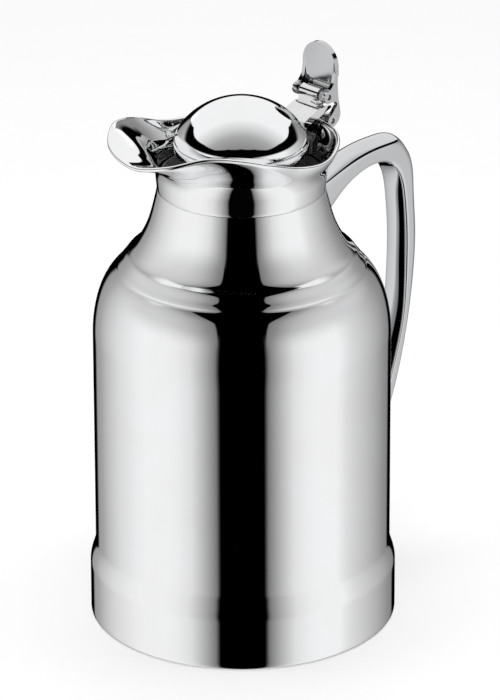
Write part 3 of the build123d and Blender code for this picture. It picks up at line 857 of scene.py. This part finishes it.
def makeHinge():
    bracket = softCopy("hingeBracket", "hinge_bracket", hinge["bracketSoft"], castChrome)
    place(bracket, "pot", "chrome_fittings", "hinge_bracket")
    lever = softCopy("thumbLever", "thumb_lever", hinge["leverSoft"], leverChrome)
    lever = openGaps(lever)
    place(lever, "lever", "chrome_fittings", "thumb_lever")
    arm = softCopy("lidArm", "lid_arm", hinge["armSoft"], castChrome)
    arm = openGaps(arm)
    place(arm, "lid", "chrome_fittings", "lid_arm")
    makePin("leverPin", hinge["leverPin"], "pot", "lever_pin")
    makePin("lidPin", hinge["lidPin"], "lever", "lid_pin")
    x, z = hinge["leverPin"]
    seed = outlineMesh("coilStart", [(0, 0, 0), (0, 0, 0.001)])
    coil = runTree("returnCoil", seed, trees["coil"], Turns=hinge["coilTurns"], Finish=steel,
                   Radius=hinge["coilRadius"] * mm, Length=2 * hinge["coilHalf"] * mm,
                   Wire=hinge["coilWire"] * mm)
    coil = tidyMesh(coil)
    moveMesh(coil, Matrix.Translation((0, 0, -hinge["coilHalf"] * mm)))
    moveMesh(coil, alongY(x, z))
    place(coil, "pot", "steel", "return_spring")


makeHinge()
print("hinge made")


# screws
screws = {
    "armSpots": [(21.5, -4.5, 210.75), (21.5, 4.5, 210.75)], "armHead": (2.2, 1.25), "armShank": (1.2, 4.0),
    "plateSpots": [(33.5, -4.5, 207.5), (33.5, 4.5, 207.5)], "plateHead": (2.7, 1.6),
    "plateShank": (1.6, 7.5),
}


def screwPart(name, head, shank):
    # head downwards from the origin, with a cross recess, and the shank upwards
    (wide, tall), (thin, long) = head, shank
    line = [(0, -tall), (wide * 0.45, -tall * 0.96), (wide * 0.75, -tall * 0.8), (wide * 0.93, -tall * 0.5),
            (wide, -tall * 0.18), (wide * 0.97, 0), (thin, 0), (thin, long - 0.4), (thin - 0.4, long),
            (0, long)]
    part = turned(name, line, steel, 40)
    for turn in (0, 90):
        slot = blockMesh("slotBlock", (-wide * 0.55, -wide * 0.11, -tall - 1), (wide * 0.55, wide * 0.11,
                                                                             -tall * 0.45))
        moveMesh(slot, Matrix.Rotation(math.radians(turn + 20), 4, "Z"))
        part = cutAway(part, slot)
    part.name = name
    return part


def makeScrews(name, spots, head, shank, turn, body, node):
    part = screwPart(name + "Part", head, shank)
    mesh = bpy.data.meshes.new(name)
    mesh.from_pydata([tuple(c * mm for c in spot) for spot in spots], [], [])
    made = runTree(name, mesh, trees["repeat"], Part=part, Turn=turn, Finish=steel)
    bpy.data.objects.remove(part)
    tidyMesh(made)
    shadeByAngle(made.data, 40)
    place(made, body, "steel", node)


makeScrews("armScrews", screws["armSpots"], screws["armHead"], screws["armShank"], (0, 0, 0), "lid",
           "arm_screws")
makeScrews("plateScrews", screws["plateSpots"], screws["plateHead"], screws["plateShank"],
           (0, math.pi / 2, 0), "pot", "bracket_screws")
print("screws made")


# CAD nodes that stay take the same finishes
keptFinish = {
    "handle_screws": steel, "neck_ring": plastic, "mouth_seal": rubber, "flask_inner": glassSilver,
    "flask_outer": glassSilver, "flask_pads": fibre, "flask_cushion": rubber, "base_plate": plastic,
    "base_ring": steel, "bracket_plate": steel, "stopper_screw": steel,
}
for name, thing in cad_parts.items():
    if name in keptFinish:
        for holder in thing.material_slots:
            holder.material = keptFinish[name]
print("kept nodes dressed:", len(keptFinish))


# studio
studio = {
    "target": 0.12077877, "side": 0.003438, "distance": 2.3636, "elevation": 23.2, "lens": 282.857,
    "roll": -0.19, "floorSize": 15.0, "floorGlow": 0.42,
    "tallTent": ("bodyShell",), "tentRadius": 8.0, "tentHeight": 0.12,
    "lampSize": 2.4, "lampPower": 46.0, "lampHeight": 2.2,
}
# brightness of the side panels by angle from the front, as display values
panelLight = [(-156, 0), (-152, 148), (-140, 162), (-130, 185), (-120, 202), (-110, 217), (-100, 226),
              (-90, 235), (-80, 240), (-60, 240), (-50, 235), (-40, 222), (-30, 182), (-20, 120),
              (-17.6, 0), (17.6, 0), (20, 120), (30, 182), (40, 222), (50, 235), (60, 240), (78, 240),
              (90, 218), (100, 205), (110, 192), (120, 178), (130, 162), (140, 144), (152, 130), (156, 0)]
sideLight = [(0, 0), (0.30, 0), (0.318, 118), (0.42, 140), (0.5, 160), (0.6, 180), (0.72, 196),
             (0.84, 206), (1, 200)]
topLight = [(-1, 241), (-0.25, 241), (-0.07, 222), (0.07, 205), (0.27, 168), (0.53, 142), (1, 130)]
topEdge = [(0, 55), (30, 52), (56, 44), (83, 40), (111, 32), (130, 28), (141, 20), (155, 9), (180, 5)]
slant = math.sqrt(0.5)  # the front of the studio lies midway between -X and -Y


def glowOf(value):
    # the light that shows as this display value in the plating
    value = value / 255
    linear = value / 12.92 if value <= 0.04045 else ((value + 0.055) / 1.055)**2.4
    return linear / finishes["chromeTint"][0]


def byDirection(recipe):
    # angle round from the front, height above the horizon, and the share of the way to one side
    way = recipe.make("ShaderNodeVectorMath", {"operation": "NORMALIZE"}, {0: recipe.place()})
    x, y, z = recipe.split(way)
    front = (x + y) * -slant
    side = (x - y) * slant
    turn = side.calc("ARCTAN2", side, front) * (180 / math.pi)
    rise = z.calc("ARCSINE", z) * (180 / math.pi)
    return turn, rise, side, front


def panels(recipe, turn):
    stops = [(a / 360 + 0.5, (glowOf(v),) * 3) for a, v in panelLight]
    return recipe.make("ShaderNodeRGBToBW", {}, {0: (turn / 360 + 0.5).ramp(stops)})


def lidLight(recipe):
    # upright panels to each side and a soft box overhead, with a dark gap between them
    turn, rise, side, front = byDirection(recipe)
    reach = turn.size()
    low = panels(recipe, turn) * rise.ease(13.0, 20.0, 1.0, 0.0)
    edge = (reach / 180).ramp([(a / 180, (v / 90 + 0.5,) * 3) for a, v in topEdge])
    edge = (recipe.make("ShaderNodeRGBToBW", {}, {0: edge}) - 0.5) * 90
    gate = (rise - edge).ease(-0.6, 0.6)
    stops = [((a + 1) / 2, (glowOf(v),) * 3) for a, v in topLight]
    bright = recipe.make("ShaderNodeRGBToBW", {}, {0: ((front + 1) / 2).ramp(stops)})
    return low + gate * bright + 0.001


def bodyLight(recipe):
    # tall panels that meet overhead on each side of a dark strip
    turn, rise, side, front = byDirection(recipe)
    stops = [(a, (glowOf(v),) * 3) for a, v in sideLight]
    beside = side.size() - rise.ease(48.0, 66.0, 0.0, 0.13)
    high = recipe.make("ShaderNodeRGBToBW", {}, {0: beside.ramp(stops)})
    behind = turn.size().ease(95.0, 112.0) * rise.ease(38.0, 50.0)
    glow = beside.ease(0.28, 0.36, 0.0, glowOf(238))
    high = high * (1 - behind) + glow * behind
    share = rise.ease(5.0, 32.0)
    return panels(recipe, turn) * (1 - share) + high * share


def makeTent(name, light, radius, receivers):
    # a see-through glowing shell that only the given pieces reflect
    work = bmesh.new()
    bmesh.ops.create_icosphere(work, subdivisions=4, radius=radius)
    mesh = bpy.data.meshes.new(name)
    work.to_mesh(mesh)
    work.free()
    material = bpy.data.materials.new(name)
    material.use_nodes = True
    material.cycles.emission_sampling = "NONE"
    recipe = Recipe(material.node_tree)
    glow = recipe.make("ShaderNodeEmission", {}, {"Color": light(recipe), "Strength": 1.0})
    clear = recipe.make("ShaderNodeBsdfTransparent")
    both = recipe.make("ShaderNodeAddShader", {}, {0: glow, 1: clear})
    recipe.make("ShaderNodeOutputMaterial", {}, {"Surface": both})
    mesh.materials.append(material)
    tent = addObject(name, mesh)
    tent.location = (0, 0, studio["tentHeight"])
    tent.visible_camera = False
    tent.visible_shadow = False
    group = bpy.data.collections.new(name + "Receivers")
    for piece in receivers:
        group.objects.link(piece)
    tent.light_linking.receiver_collection = group


def makeWorld():
    world = bpy.data.worlds.new("studioLight")
    bpy.context.scene.world = world
    world.use_nodes = True
    recipe = Recipe(world.node_tree)
    backdrop = recipe.make("ShaderNodeBackground", {}, {"Color": (1, 1, 1, 1), "Strength": 1.0})
    dark = recipe.make("ShaderNodeBackground", {}, {"Color": (0, 0, 0, 1), "Strength": 1.0})
    seen = recipe.make("ShaderNodeLightPath", {}, {}, "Is Camera Ray")
    mixed = recipe.make("ShaderNodeMixShader", {}, {0: seen, 1: dark, 2: backdrop})
    recipe.make("ShaderNodeOutputWorld", {}, {"Surface": mixed})


def makeTents():
    tall = [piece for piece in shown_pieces() if piece.name in studio["tallTent"]]
    rest = [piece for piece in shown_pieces() if piece.name not in studio["tallTent"]]
    makeTent("tallTent", bodyLight, studio["tentRadius"], tall)
    makeTent("lidTent", lidLight, studio["tentRadius"] + 0.3, rest)


def makeFloor():
    half = studio["floorSize"] / 2
    mesh = bpy.data.meshes.new("paleFloor")
    mesh.from_pydata([(-half, -half, 0), (half, -half, 0), (half, half, 0), (-half, half, 0)], [],
                     [(0, 1, 2, 3)])
    floor = addObject("paleFloor", mesh)
    material, recipe, shader = newFinish("palePaper", Roughness=0.9, Emission_Strength=studio["floorGlow"])
    shader.inputs["Emission Color"].default_value = (1, 1, 1, 1)
    fibres = recipe.noise(60.0, 4.0)
    feed(recipe, shader, Base_Color=recipe.blend(fibres, (0.90, 0.90, 0.90), (0.93, 0.93, 0.93)))
    mesh.materials.append(material)
    floor.visible_glossy = False
    floor.visible_shadow = False


def makeLights():
    data = bpy.data.lights.new("overheadSoft", "AREA")
    data.shape = "SQUARE"
    data.size = studio["lampSize"]
    data.energy = studio["lampPower"]
    lamp = bpy.data.objects.new("overheadSoft", data)
    lamp.location = (0, 0, studio["lampHeight"])
    bpy.context.scene.collection.objects.link(lamp)
    lamp.visible_glossy = False
    lamp.visible_camera = False


def makeCamera():
    data = bpy.data.cameras.new("frontCamera")
    data.lens = studio["lens"]
    data.sensor_width = 36.0
    data.clip_end = 60.0
    camera = bpy.data.objects.new("frontCamera", data)
    bpy.context.scene.collection.objects.link(camera)
    lift = math.radians(studio["elevation"])
    back = Vector((-math.cos(lift) * slant, -math.cos(lift) * slant, math.sin(lift)))
    aim = Vector((studio["side"] * slant, -studio["side"] * slant, studio["target"]))
    camera.location = aim + back * studio["distance"]
    facing = (-back).to_track_quat("-Z", "Y").to_matrix().to_4x4()
    facing = facing @ Matrix.Rotation(math.radians(studio["roll"]), 4, "Z")
    camera.rotation_euler = facing.to_euler()
    bpy.context.scene.camera = camera


makeWorld()
makeTents()
makeFloor()
makeLights()
makeCamera()
bpy.context.scene.view_settings.view_transform = "Standard"
print("studio made")

bpy.context.view_layer.update()
